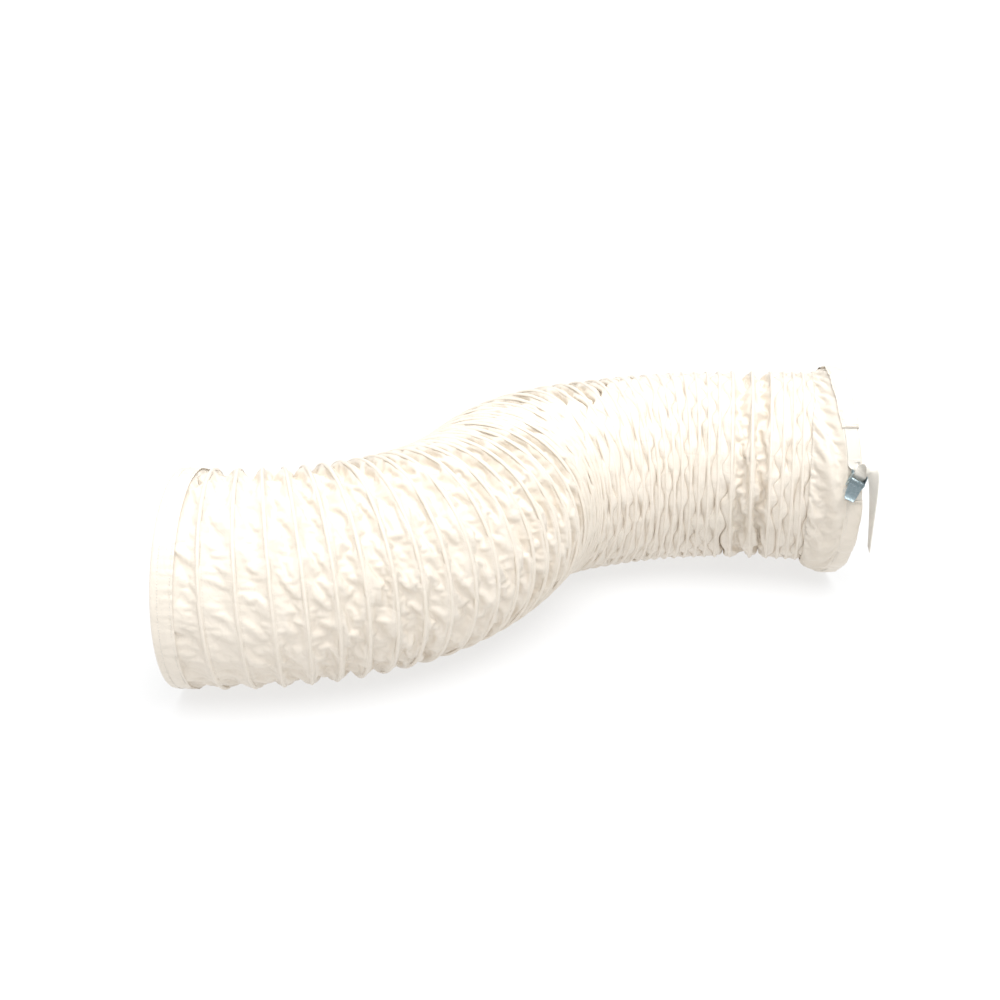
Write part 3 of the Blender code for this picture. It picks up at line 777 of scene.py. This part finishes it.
def add_tunnel(look, thread):
    """The hem that holds the belt: TUNNEL_PROFILE carried round the mouth past the opening."""
    rng = np.random.default_rng(31)
    profile = through(TUNNEL_PROFILE, 40)
    first, last = np.radians(TUNNEL_OPENING[1]), np.radians(TUNNEL_OPENING[0] + 360)
    angle = np.linspace(first, last, 380)[None, :]
    along = np.linspace(0, 1, 40)[:, None]
    pucker = wobble(rng, angle, along, 84, 0.00035) + wobble(rng, angle, along, 22, 0.00075)
    to_end = np.minimum(angle - first, last - angle) * MOUTH_RADIUS
    drop = 0.0010 * np.exp(-(to_end / 0.010)**2) * (profile[:, 1:] > -0.0026)
    points = mouth_point(angle, MOUTH_RADIUS + profile[:, 1:] + pucker - drop,
                         profile[:, :1] + 0.5 * pucker)
    size = ((last - first) * MOUTH_RADIUS, TUNNEL_CLOTH)
    tunnel = sheet_grid("hem_tunnel_fabric", points, *size, look)
    thicken(tunnel, HEM_THICKNESS)
    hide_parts("hem_tunnel")
    rows = [ring_stitches(lambda a, x=x: mouth_point(a, MOUTH_RADIUS - 0.0003, x), first, last,
                          0.0038, MOUTH_RADIUS, MOUTH) for x in (-0.0232, -0.0204)]
    for edge in (first + 0.016, first + 0.034, last - 0.016, last - 0.034):
        rows.append(cross_stitches(edge))
    seam = add_stitches("tunnel_stitches", rows, thread)
    for piece in (tunnel, seam, add_backing(look)):
        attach(piece, "right_end")


def cross_stitches(angle):
    """A row of stitches across the tunnel at one angle."""
    axial = np.linspace(-0.0190, -0.0030, 5)
    centres = mouth_point(angle, MOUTH_RADIUS + 0.0004, axial)
    out = np.cos(angle) * MOUTH[1] + np.sin(angle) * MOUTH[2]
    return centres, np.tile(MOUTH[3], (5, 1)), np.tile(out, (5, 1))


def add_backing(look):
    """One layer of fabric behind the belt where the tunnel is open."""
    edge = np.radians(4.0)
    angle = np.linspace(np.radians(TUNNEL_OPENING[0]) - edge, np.radians(TUNNEL_OPENING[1]) + edge,
                        60)[None, :]
    axial = np.linspace(-TUNNEL_WIDTH, -0.0008, 14)[:, None]
    slack = 0.0005 * np.sin(23 * angle + 60 * axial) + 0.0004 * np.sin(51 * angle - 200 * axial)
    points = mouth_point(angle, MOUTH_RADIUS - TUNNEL_DEPTH + 0.0004 + slack, axial)
    size = ((angle.max() - angle.min()) * MOUTH_RADIUS, TUNNEL_WIDTH)
    backing = sheet_grid("tunnel_back_fabric", points, *size, look)
    thicken(backing, HEM_THICKNESS)
    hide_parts("tunnel_backing")
    return backing


# ---------------------------------------------------------------- webbing strap
BELT_WIDTH = 0.0200
BELT_THICKNESS = 0.0016
BUCKLE_STANDOFF = 0.0066
BUCKLE_SKEW = 25.0
EDGE_ON = np.array((-0.27, -0.963, 0.0))      # the free end's width, once it is edge-on


def buckle_axes():
    """The buckle's point, then its down, out and sideways directions."""
    angle = np.radians(BUCKLE_ANGLE)
    radial = np.cos(angle) * MOUTH[1] + np.sin(angle) * MOUTH[2]
    point = (MOUTH[0] - MOUTH[3] * TUNNEL_WIDTH / 2
             + (BELT_RADIUS + BUCKLE_STANDOFF) * radial)
    tangent = np.cross(MOUTH[3], radial)
    tangent = tangent * np.sign(-tangent[2])
    skew = np.radians(BUCKLE_SKEW)
    down = np.cos(skew) * tangent - np.sin(skew) * MOUTH[3]
    return point, down, radial, np.cos(skew) * MOUTH[3] + np.sin(skew) * tangent


BUCKLE_POINT, DOWN, OUT, SIDEWAYS = buckle_axes()


def buckle_at(place):
    """World points from (down, out) places in the buckle."""
    place = np.asarray(place, dtype=float)
    return BUCKLE_POINT + place[..., :1] * DOWN + place[..., 1:2] * OUT


# half of the strap's cross-section, as shares of its half width and half thickness
STRAP_EDGE = ((1.0, 0.0), (0.985, 0.7), (0.95, 1.0), (0.86, 0.86), (0.4, 0.82), (0.0, 0.82))


def strap_outline():
    """The strap's cross-section (across, through): flat faces and thicker woven edges."""
    quarter = np.array(STRAP_EDGE) * (BELT_WIDTH / 2, BELT_THICKNESS / 2)
    top = np.concatenate([quarter, quarter[-2::-1] * (-1, 1)])
    return np.concatenate([top, top[-2:0:-1] * (1, -1)])


def add_strap(name, points, wide, look, body, *nodes):
    """Webbing whose middle follows points, with its width along wide at each of them."""
    along = unit(np.gradient(points, axis=0))
    wide = unit(wide - (wide * along).sum(axis=1)[:, None] * along)
    through_it = np.cross(wide, along)
    outline = strap_outline()
    count = len(outline)
    grid = (points[:, None] + outline[None, :, :1] * wide[:, None]
            + outline[None, :, 1:] * through_it[:, None])
    travel = np.concatenate([[0.0], np.cumsum(np.linalg.norm(np.diff(points, axis=0), axis=1))])
    u = np.broadcast_to(outline[None, :, 0], (len(points), count))
    v = np.broadcast_to(travel[:, None], (len(points), count))
    piece = build_mesh(name, grid.reshape(-1, 3), grid_faces(len(points), count, closed=True),
                       np.stack([u, v], axis=-1).reshape(-1, 2))
    close_ends(piece, len(points), count)
    piece.data.materials.append(look)
    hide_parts(*nodes)
    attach(piece, body)
    return piece


ANCHOR_PATH = ((-0.0215, -0.0058), (-0.0180, -0.0030), (-0.0145, -0.0001), (-0.0105, -0.0001),
               (-0.0087, 0.0006), (-0.0080, 0.0024), (-0.0087, 0.0042), (-0.0105, 0.0049),
               (-0.0150, 0.0049))
THROAT_PATH = ((0.0215, -0.0058), (0.0180, -0.0030), (0.0145, 0.0), (0.0090, 0.0),
               (0.0030, -0.0001), (-0.0015, 0.0003), (-0.0048, 0.0028), (-0.0080, 0.0064),
               (-0.0115, 0.0078), (-0.0150, 0.0084))
# towards the mouth, up and away from the near side, then how far it has turned edge-on
TAIL_ROUTE = ((0.0002, 0.0003, -0.0001, 0.0), (0.0026, 0.0050, -0.0008, 3.0),
              (0.0068, 0.0082, 0.0030, 10.0), (0.0112, 0.0068, 0.0088, 20.0),
              (0.0142, 0.0004, 0.0125, 30.0), (0.0162, -0.0160, 0.0140, 42.0),
              (0.0175, -0.0370, 0.0135, 52.0), (0.0185, -0.0580, 0.0120, 60.0),
              (0.0195, -0.0800, 0.0098, 67.0), (0.0205, -0.1010, 0.0070, 73.0),
              (0.0214, -0.1270, 0.0038, 79.0))


def add_belt(look):
    """The strap: round in the tunnel, up to the buckle at both ends, and its free end."""
    angle = np.linspace(np.radians(BUCKLE_ANGLE + 8), np.radians(BUCKLE_ANGLE + 352), 420)
    points = mouth_point(angle, BELT_RADIUS, -TUNNEL_WIDTH / 2)
    add_strap("belt_webbing", points, np.tile(MOUTH[3], (len(points), 1)), look, "right_end",
              "belt")
    for name, path, low, high, node in (
            ("belt_anchor_loop", ANCHOR_PATH, -11.0, -8.4, "belt_anchor"),
            ("belt_running_end", THROAT_PATH, 11.0, 8.4, "belt_throat")):
        start = mouth_point(np.radians(BUCKLE_ANGLE + np.array((low, high))), BELT_RADIUS + 0.0009,
                            -TUNNEL_WIDTH / 2)
        stops = np.concatenate([start, buckle_at(path)])
        wide = np.concatenate([np.tile(MOUTH[3], (2, 1)), np.tile(SIDEWAYS, (len(path), 1))])
        add_strap(name, through(stops, 90), through(wide, 90), look, "right_end", node)
    route = np.array(TAIL_ROUTE)
    near = np.array((0.0, -1.0, 0.0))
    stops = (buckle_at((-0.0150, 0.0084)) + route[:, :1] * MOUTH[3]
             + route[:, 1:2] * MOUTH[2] + route[:, 2:3] * near)
    turn = np.radians(route[:, 3:4])
    wide = np.cos(turn) * SIDEWAYS + np.sin(turn) * EDGE_ON
    tail = add_strap("belt_free_end", through(stops, 150), through(wide, 150), look, "strap_end",
                     "belt_tail")


# ---------------------------------------------------------------- buckle
CHEEK = ((-0.0130, -0.0024), (0.0130, -0.0024), (0.0130, 0.0030), (0.0118, 0.0062),
         (0.0072, 0.0100), (0.0050, 0.0108), (-0.0066, 0.0108), (-0.0098, 0.0092),
         (-0.0130, 0.0046))
CHEEK_SIDES = (0.0110, 0.0122)
PIN_PLACE = np.array((0.0030, 0.0064))
LEVER_LENGTH = 0.0300


def add_slab(form, outline, low, high):
    """An outline of (down, out) places between two sideways distances, each one number or one
    for every place, into a bmesh."""
    low, high = (np.broadcast_to(side, len(outline)) for side in (low, high))
    rings = [[form.verts.new(tuple(point + step * SIDEWAYS))
              for point, step in zip(buckle_at(outline), side)] for side in (low, high)]
    form.faces.new(rings[0])
    form.faces.new(rings[1][::-1])
    for k in range(len(outline)):
        form.faces.new((rings[0][k], rings[0][k - 1], rings[1][k - 1], rings[1][k]))


def finish_metal(name, form, look, body, node, bevel):
    """Makes the piece, rounds its edges and lets it ride."""
    bmesh.ops.recalc_face_normals(form, faces=form.faces)
    mesh = bpy.data.meshes.new(name)
    form.to_mesh(mesh)
    form.free()
    mesh.shade_smooth()
    mesh.set_sharp_from_angle(angle=np.radians(40))
    mesh.materials.append(look)
    piece = bpy.data.objects.new(name, mesh)
    bpy.context.scene.collection.objects.link(piece)
    edge = piece.modifiers.new("rounded_edges", "BEVEL")
    edge.width = bevel
    edge.segments = 2
    edge.angle_limit = np.radians(35)
    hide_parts(node)
    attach(piece, body)
    return piece


def add_buckle_frame(look):
    """Two rounded cheeks joined by a floor plate under the strap."""
    form = bmesh.new()
    inner, outer = CHEEK_SIDES
    add_slab(form, np.array(CHEEK), inner, outer)
    add_slab(form, np.array(CHEEK), -outer, -inner)
    floor = np.array([(-0.0130, -0.0024), (0.0130, -0.0024), (0.0130, -0.0012), (-0.0130, -0.0012)])
    add_slab(form, floor, -inner, inner)
    finish_metal("buckle_body", form, look, "right_end", "buckle_frame", 0.0003)


def lever_outline():
    """Side outline of the lever: a toothed cam, a flat thumb plate and its curled tip."""
    angle = np.radians(np.linspace(125.0, 330.0, 37))
    tooth = 0.0052 - 0.00035 * (np.arange(37) % 2)
    rim = tooth[:, None] * np.stack([np.cos(angle), np.sin(angle)], axis=-1)
    along = np.array((np.cos(np.radians(6)), np.sin(np.radians(6))))
    out = np.array((-along[1], along[0]))
    reach = np.array((0.0052, 0.0120, 0.0200, 0.0255, 0.0285, LEVER_LENGTH))
    curl = 0.0026 + np.array((0.0, 0.0, 0.0001, 0.0004, 0.0012, 0.0022))
    under = reach[:, None] * along + curl[:, None] * out
    over = (reach[::-1, None] - 0.0002) * along + (curl[::-1, None] + 0.0012) * out
    return np.concatenate([rim, under, over, [0.0 * along + 0.0038 * out]]) + PIN_PLACE


def add_cam_lever(look):
    """The cam and its thumb plate, narrowing to a rounded tip."""
    outline = lever_outline()
    travel = (outline - PIN_PLACE)[:, 0]
    half = 0.0104 - 0.0034 * np.clip((travel - 0.012) / (LEVER_LENGTH - 0.012), 0, 1)**2
    form = bmesh.new()
    add_slab(form, outline, -half, half)
    finish_metal("thumb_lever", form, look, "cam", "cam_lever", 0.00025)


# ---------------------------------------------------------------- materials
SEAM_LINE = 0.0050                            # sewn line's distance from the wire, on the cloth
IVORY = (0.81, 0.737, 0.642, 1)
# dark end of the fabric's colour mix: real handling marks, and painted shade in creases and sewn
# grooves
MARKED_AND_SHADED_IVORY = (0.67, 0.61, 0.52, 1)
OFF_WHITE = (0.84, 0.80, 0.73, 1)


class Value:
    """A number socket of a material; arithmetic on it adds Math nodes."""

    def __init__(self, paint, socket):
        self.paint = paint
        self.socket = socket

    def maths(self, operation, *values):
        return self.paint.node("ShaderNodeMath", {"operation": operation},
                               dict(enumerate(values)))

    def __add__(self, other):
        return self.maths("ADD", self, other)

    __radd__ = __add__

    def __sub__(self, other):
        return self.maths("SUBTRACT", self, other)

    def __rsub__(self, other):
        return self.maths("SUBTRACT", other, self)

    def __mul__(self, other):
        return self.maths("MULTIPLY", self, other)

    __rmul__ = __mul__

    def __truediv__(self, other):
        return self.maths("DIVIDE", self, other)

    def wave(self, period):
        """Sine of the value over a period."""
        return self.maths("SINE", self * (2 * np.pi / period))

    def size(self):
        """The value without its sign."""
        return self.maths("ABSOLUTE", self)

    def ramp(self, low, high, start=0.0, end=1.0):
        """Smooth step from start to end as the value goes from low to high."""
        return self.paint.node("ShaderNodeMapRange", {"interpolation_type": "SMOOTHSTEP"},
                               {0: self, 1: low, 2: high, 3: start, 4: end})


class Paint:
    """A Principled material in the making, with one method for every kind of node."""

    def __init__(self, name, metallic=0.0):
        self.look = bpy.data.materials.new(name)
        self.look.use_nodes = True
        self.tree = self.look.node_tree
        self.shader = self.tree.nodes["Principled BSDF"]
        self.shader.inputs["Metallic"].default_value = metallic

    def node(self, kind, settings=(), sockets=(), output=0):
        """Adds a node: its settings first, then the values or links of its sockets."""
        made = self.tree.nodes.new(kind)
        for name, value in dict(settings).items():
            setattr(made, name, value)
        for name, value in dict(sockets).items():
            self.feed(made.inputs[name], value)
        return Value(self, made.outputs[output])

    def feed(self, socket, value):
        """Links a socket to a value, or sets it to a constant."""
        if isinstance(value, Value):
            self.tree.links.new(value.socket, socket)
        else:
            socket.default_value = value

    def place(self):
        """Object coordinates, in metres."""
        return self.node("ShaderNodeTexCoord", output="Object")

    def cloth(self):
        """The two distances of the piece's own UV map, in metres."""
        uv = self.node("ShaderNodeUVMap", {"uv_map": "cloth"})
        return [self.node("ShaderNodeSeparateXYZ", sockets={0: uv}, output=k) for k in (0, 1)]

    def noise(self, scale, detail=3.0, roughness=0.55, where=None):
        """Noise from 0 to 1 with that many lumps to a metre."""
        return self.node("ShaderNodeTexNoise", sockets={
            "Vector": where or self.place(), "Scale": scale, "Detail": detail,
            "Roughness": roughness})

    def mix(self, factor, first, second):
        """A colour between two others."""
        return self.node("ShaderNodeMix", {"data_type": "RGBA"},
                         {0: factor, 6: first, 7: second}, output=2)

    def finish(self, colour, roughness, height, distance, strength=1.0):
        """Feeds the shader; height in shares of distance becomes its bump."""
        bump = self.node("ShaderNodeBump", sockets={
            "Height": height, "Distance": distance, "Strength": strength})
        self.feed(self.shader.inputs["Base Color"], colour)
        self.feed(self.shader.inputs["Roughness"], roughness)
        self.feed(self.shader.inputs["Normal"], bump)
        return self.look


def coated_fabric(name, ribbed):
    """Ivory coating over a fine scrim: faint weave, sharp small creases darkened with painted
    shade, soft handling marks;
    where it is ribbed, a sewn line runs on each side of the wire, its groove between stitches
    darkened with painted shade."""
    paint = Paint(name)
    u, v = paint.cloth()
    weave = u.wave(0.0013) * v.wave(0.0013)
    bent = paint.node("ShaderNodeMix", {"data_type": "VECTOR"}, {
        0: 0.035, 4: paint.place(),
        5: paint.node("ShaderNodeTexNoise", sockets={"Vector": paint.place(), "Scale": 22.0},
                      output=1)}, output=1)
    cells = paint.node("ShaderNodeTexVoronoi", {"feature": "DISTANCE_TO_EDGE"},
                       {"Vector": bent, "Scale": 34.0})
    crease = cells.ramp(0.0, 0.13)
    small = paint.node("ShaderNodeTexVoronoi", {"feature": "DISTANCE_TO_EDGE"},
                       {"Vector": bent, "Scale": 95.0}).ramp(0.0, 0.16)
    soft = paint.noise(70.0, 4.0)
    height = crease * 0.5 + small * 0.20 + soft * 0.8 + weave * 0.03
    marks = paint.noise(7.0, 4.0, 0.6).ramp(0.35, 0.75)
    # painted shade: the crease lines of both Voronoi sizes darken the colour, on top of the real
    # handling marks
    marks_and_painted_shade = marks * 0.35 + (1 - crease) * 0.16 + (1 - small) * 0.06
    if ribbed:
        turn = v / TURN_FABRIC + 10.0
        part = turn.maths("FRACT", turn)
        gap = (0.5 - (part - 0.5).size()) * TURN_FABRIC
        line = 1 - (gap - SEAM_LINE).size().ramp(0.0, 0.0007)
        dots = u.wave(0.0040).ramp(-0.4, 0.4)
        height = height - line * 0.8 + line * dots * 0.9
        # painted shade: the sewn groove is darkened between the raised stitches
        marks_and_painted_shade = marks_and_painted_shade + line * (1 - dots) * 0.45
    colour = paint.mix(marks_and_painted_shade, IVORY, MARKED_AND_SHADED_IVORY)
    roughness = paint.noise(40.0).ramp(0.2, 0.8, 0.34, 0.52)
    paint.shader.inputs["Coat Weight"].default_value = 0.12
    paint.shader.inputs["Coat Roughness"].default_value = 0.30
    return paint.finish(colour, roughness, height, 0.0007, 0.55)


def sewing_thread():
    """White polyester thread with a fine twist."""
    paint = Paint("sewing_thread")
    twist = paint.noise(900.0, 2.0)
    colour = paint.mix(twist, OFF_WHITE, (0.60, 0.57, 0.52, 1))
    return paint.finish(colour, twist.ramp(0.0, 1.0, 0.55, 0.8), twist, 0.0002)


def strap_webbing():
    """Plain woven polyester: ridged warp yarns crossed by finer picks, slightly soiled, with
    painted shade in the low places of the weave.
    """
    paint = Paint("strap_webbing")
    u, v = paint.cloth()
    warp = u.wave(0.0016)
    picks = v.wave(0.0011) * u.wave(0.0032)
    height = warp * 0.35 + picks * 0.5 + paint.noise(600.0, 2.0) * 0.4
    # painted shade: the weave's low places are darkened; the broad noise adds real soil
    weave_shade_and_soil = (1 - height.ramp(-0.6, 0.6)) * 0.45 + paint.noise(30.0, 4.0).ramp(0.45, 0.8) * 0.25
    colour = paint.mix(weave_shade_and_soil, OFF_WHITE, (0.55, 0.52, 0.46, 1))
    return paint.finish(colour, paint.noise(200.0).ramp(0.2, 0.8, 0.62, 0.85), height, 0.0003)


def metal(name, bright, dull, low, high, grain):
    """Metal with cloudy plating, fine scratches and rubbed patches."""
    paint = Paint(name, metallic=1.0)
    stretched = paint.node("ShaderNodeMapping", sockets={
        "Vector": paint.place(), "Scale": (1.0, 1.0, 0.12)})
    scratches = paint.noise(grain, 3.0, 0.6, stretched)
    clouds = paint.noise(220.0, 4.0)
    worn = paint.noise(500.0, 2.0).ramp(0.58, 0.72)
    colour = paint.mix(clouds.ramp(0.3, 0.7), bright, dull)
    colour = paint.mix(worn * 0.4, colour, (0.80, 0.83, 0.84, 1))
    roughness = clouds.ramp(0.3, 0.7, low, high) + (scratches - 0.5) * 0.15
    return paint.finish(colour, roughness, scratches + clouds * 0.6, 0.00012, 0.6)


def repaint(look, *nodes):
    """Gives a better material to CAD nodes that stay."""
    for name in nodes:
        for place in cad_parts[name].material_slots:
            place.material = look


# ---------------------------------------------------------------- camera, light and floor
SKY = (0.10, 1.30)                            # brightness at the horizon and overhead
LAMP = 2.2
LAMP_SPREAD = 50.0                            # degrees across
FLOOR_GREY = 0.24
FLOOR_GLOW = 0.60                             # keeps the floor nearly white
EXPOSURE = 0.20


def add_camera():
    """Camera at standing height in front of the duct, looking slightly down."""
    lens = bpy.data.cameras.new("camera")
    lens.lens = 52.9
    eye = bpy.data.objects.new("camera", lens)
    eye.location = (-0.059, -2.092, 1.034)
    eye.rotation_euler = (np.radians(90 - 22.04), 0.0, 0.0)
    bpy.context.scene.collection.objects.link(eye)
    bpy.context.scene.camera = eye


def add_studio():
    """Pale floor, a sky that is dim at the horizon and bright overhead, and a soft lamp."""
    world = bpy.data.worlds.new("studio")
    world.use_nodes = True
    tree = world.node_tree
    way = tree.nodes.new("ShaderNodeTexCoord")
    parts = tree.nodes.new("ShaderNodeSeparateXYZ")
    lift = tree.nodes.new("ShaderNodeMapRange")
    for socket, value in ((1, 0.0), (2, 1.0), (3, SKY[0]), (4, SKY[1])):
        lift.inputs[socket].default_value = value
    tree.links.new(way.outputs["Generated"], parts.inputs[0])
    tree.links.new(parts.outputs["Z"], lift.inputs[0])
    tree.links.new(lift.outputs[0], tree.nodes["Background"].inputs["Strength"])
    tree.nodes["Background"].inputs["Color"].default_value = (0.96, 0.98, 1.0, 1)
    bpy.context.scene.world = world
    floor = build_mesh("floor", [(-40, -40, -0.0005), (40, -40, -0.0005), (40, 40, -0.0005),
                                 (-40, 40, -0.0005)], [(0, 1, 2, 3)], smooth=False)
    paint = bpy.data.materials.new("floor")
    paint.use_nodes = True
    shader = paint.node_tree.nodes["Principled BSDF"]
    shader.inputs["Base Color"].default_value = (FLOOR_GREY, FLOOR_GREY, FLOOR_GREY, 1)
    shader.inputs["Roughness"].default_value = 1.0
    shader.inputs["Specular IOR Level"].default_value = 0.0
    shader.inputs["Emission Color"].default_value = (1.0, 1.0, 1.0, 1)
    shader.inputs["Emission Strength"].default_value = FLOOR_GLOW
    floor.data.materials.append(paint)
    lamp = bpy.data.lights.new("soft_lamp", "SUN")
    lamp.energy = LAMP
    lamp.angle = np.radians(LAMP_SPREAD)
    stand = bpy.data.objects.new("soft_lamp", lamp)
    stand.rotation_euler = Vector((-0.12, 0.35, -1.0)).to_track_quat("-Z", "Y").to_euler()
    bpy.context.scene.collection.objects.link(stand)
    settings = bpy.context.scene.view_settings
    settings.view_transform = "Standard"
    settings.exposure = EXPOSURE


def main():
    add_camera()
    add_studio()
    ribbed, plain = coated_fabric("coated_fabric", True), coated_fabric("plain_fabric", False)
    thread = sewing_thread()
    webbing = strap_webbing()
    plated = metal("plated_steel", (0.46, 0.55, 0.58, 1), (0.26, 0.34, 0.37, 1), 0.22, 0.40, 2500)
    wire = metal("spring_wire", (0.50, 0.50, 0.51, 1), (0.36, 0.36, 0.37, 1), 0.30, 0.45, 3500)
    crimp = metal("crimp_sleeve", (0.66, 0.65, 0.62, 1), (0.50, 0.49, 0.47, 1), 0.35, 0.50, 2000)
    seams = add_lap_seams(plain)
    ride_stretches(add_fabric(ribbed))
    ride_stretches(seams)
    add_end_hem(plain, thread)
    add_cuff(plain, thread)
    add_tunnel(plain, thread)
    add_belt(webbing)
    add_buckle_frame(plated)
    add_cam_lever(plated)
    repaint(plated, "cam_pin", "anchor_bar")
    repaint(wire, "end_ring", "cuff_ring")
    repaint(crimp, "end_ferrule", "cuff_ferrule")


main()
